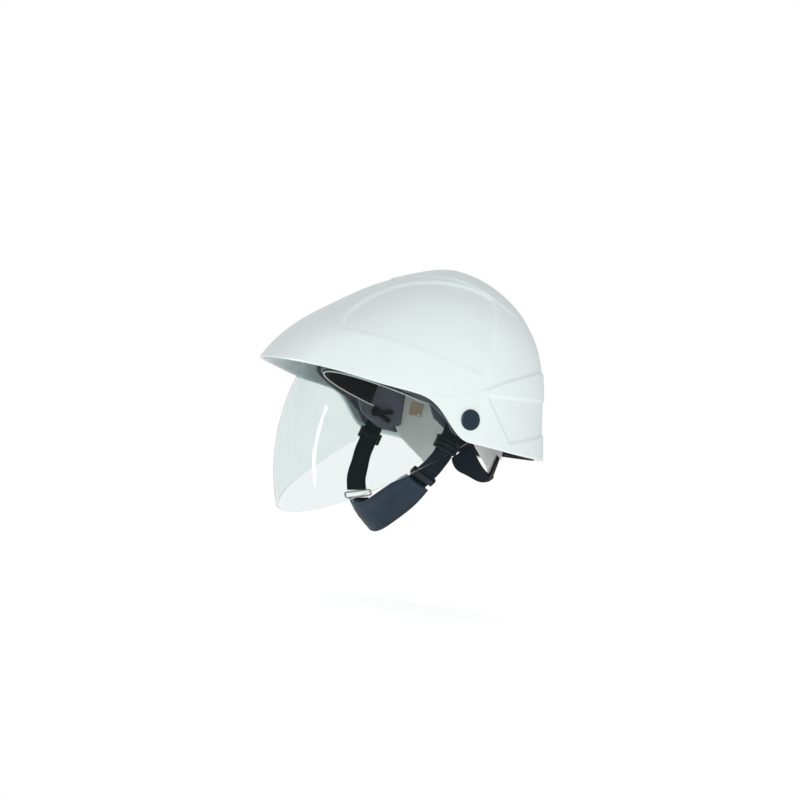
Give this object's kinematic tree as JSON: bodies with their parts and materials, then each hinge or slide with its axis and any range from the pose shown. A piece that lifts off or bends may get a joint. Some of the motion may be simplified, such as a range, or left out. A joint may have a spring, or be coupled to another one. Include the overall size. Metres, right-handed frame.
{
  "type": "hard hat",
  "caption": "Hard hat with a long sweeping peak, a retractable clear face visor on side pivots, an adjustable headband and a webbing chin strap with a padded guard.",
  "frame": {"origin": "centre of the head opening at headband level, on the hat's centre plane", "axes": "front of the hat (peak) faces -Y, wearer's left is +X, crown is +Z"},
  "size_m": [0.2244, 0.3057, 0.2699],
  "materials": {
    "shell_white": "gloss",
    "visor_clear": "gloss",
    "cap_black": "satin",
    "detent_black": "matte",
    "bushing_grey": "matte",
    "steel": "satin",
    "ring_wire": "polished",
    "frame_slate": "matte",
    "band_grey": "matte",
    "sweat_black": "woven",
    "webbing_black": "woven",
    "webbing_grey": "woven",
    "guard_leather": "grained",
    "buckle_black": "satin",
    "tab_tan": "grained"
  },
  "bodies": {
    "shell": {"shell": "shell_white", "pivot_cap_left": "cap_black", "pivot_cap_right": "cap_black", "pivot_bushing_left": "bushing_grey", "pivot_bushing_right": "bushing_grey", "pivot_screw_left": "steel", "pivot_screw_right": "steel", "detent_clip_left": "detent_black", "detent_clip_right": "detent_black", "inner_frame": "frame_slate", "headband": "frame_slate", "sweatband": "sweat_black", "rear_liner": "sweat_black", "crown_pad": "sweat_black", "crown_strap_centre": "webbing_grey", "crown_strap_left": "webbing_grey", "crown_strap_right": "webbing_grey", "crown_clip_centre": "band_grey", "crown_clip_left": "band_grey", "crown_clip_right": "band_grey", "strap_anchor_left": "detent_black", "strap_anchor_right": "detent_black", "strap_rivet_left": "steel", "strap_rivet_right": "steel", "size_tab_left": "tab_tan", "size_tab_right": "tab_tan"},
    "visor": {"visor": "visor_clear"},
    "nape": {"nape_band": "band_grey", "nape_pad": "sweat_black", "nape_strap_left": "webbing_black", "nape_strap_right": "webbing_black"},
    "chin": {"hanger_left": "webbing_black", "hanger_right": "webbing_black", "chin_guard": "guard_leather", "chin_webbing": "webbing_black", "keeper": "buckle_black"},
    "buckle_left": {"slide_buckle_left": "buckle_black"},
    "buckle_right": {"slide_buckle_right": "buckle_black"},
    "ring": {"wire_ring": "ring_wire"}
  },
  "joints": [
    {"name": "visor_tilt", "type": "hinge", "parent": "shell", "child": "visor", "pos_m": [0, 0.005, 0], "axis": [-1, 0, 0], "range_deg": [0, 48]},
    {"name": "nape_size", "type": "slide", "parent": "shell", "child": "nape", "axis": [0, 1, 0], "range_m": [0, 0.012]},
    {"name": "chin_strap_swing", "type": "hinge", "parent": "shell", "child": "chin", "pos_m": [0, 0.005, -0.009], "axis": [1, 0, 0], "range_deg": [-30, 5]},
    {"name": "buckle_slide_left", "type": "slide", "parent": "chin", "child": "buckle_left", "axis": [-0.0179, -0.2982, -0.9543], "range_m": [-0.001, 0.0025]},
    {"name": "buckle_slide_right", "type": "slide", "parent": "chin", "child": "buckle_right", "axis": [0.0179, -0.2982, -0.9543], "range_m": [-0.001, 0.0025]},
    {"name": "ring_swing", "type": "hinge", "parent": "chin", "child": "ring", "pos_m": [-0.05272, -0.01972, -0.08526], "axis": [0.2991, 0.9169, 0.2642], "range_deg": [-8, 8]}
  ]
}
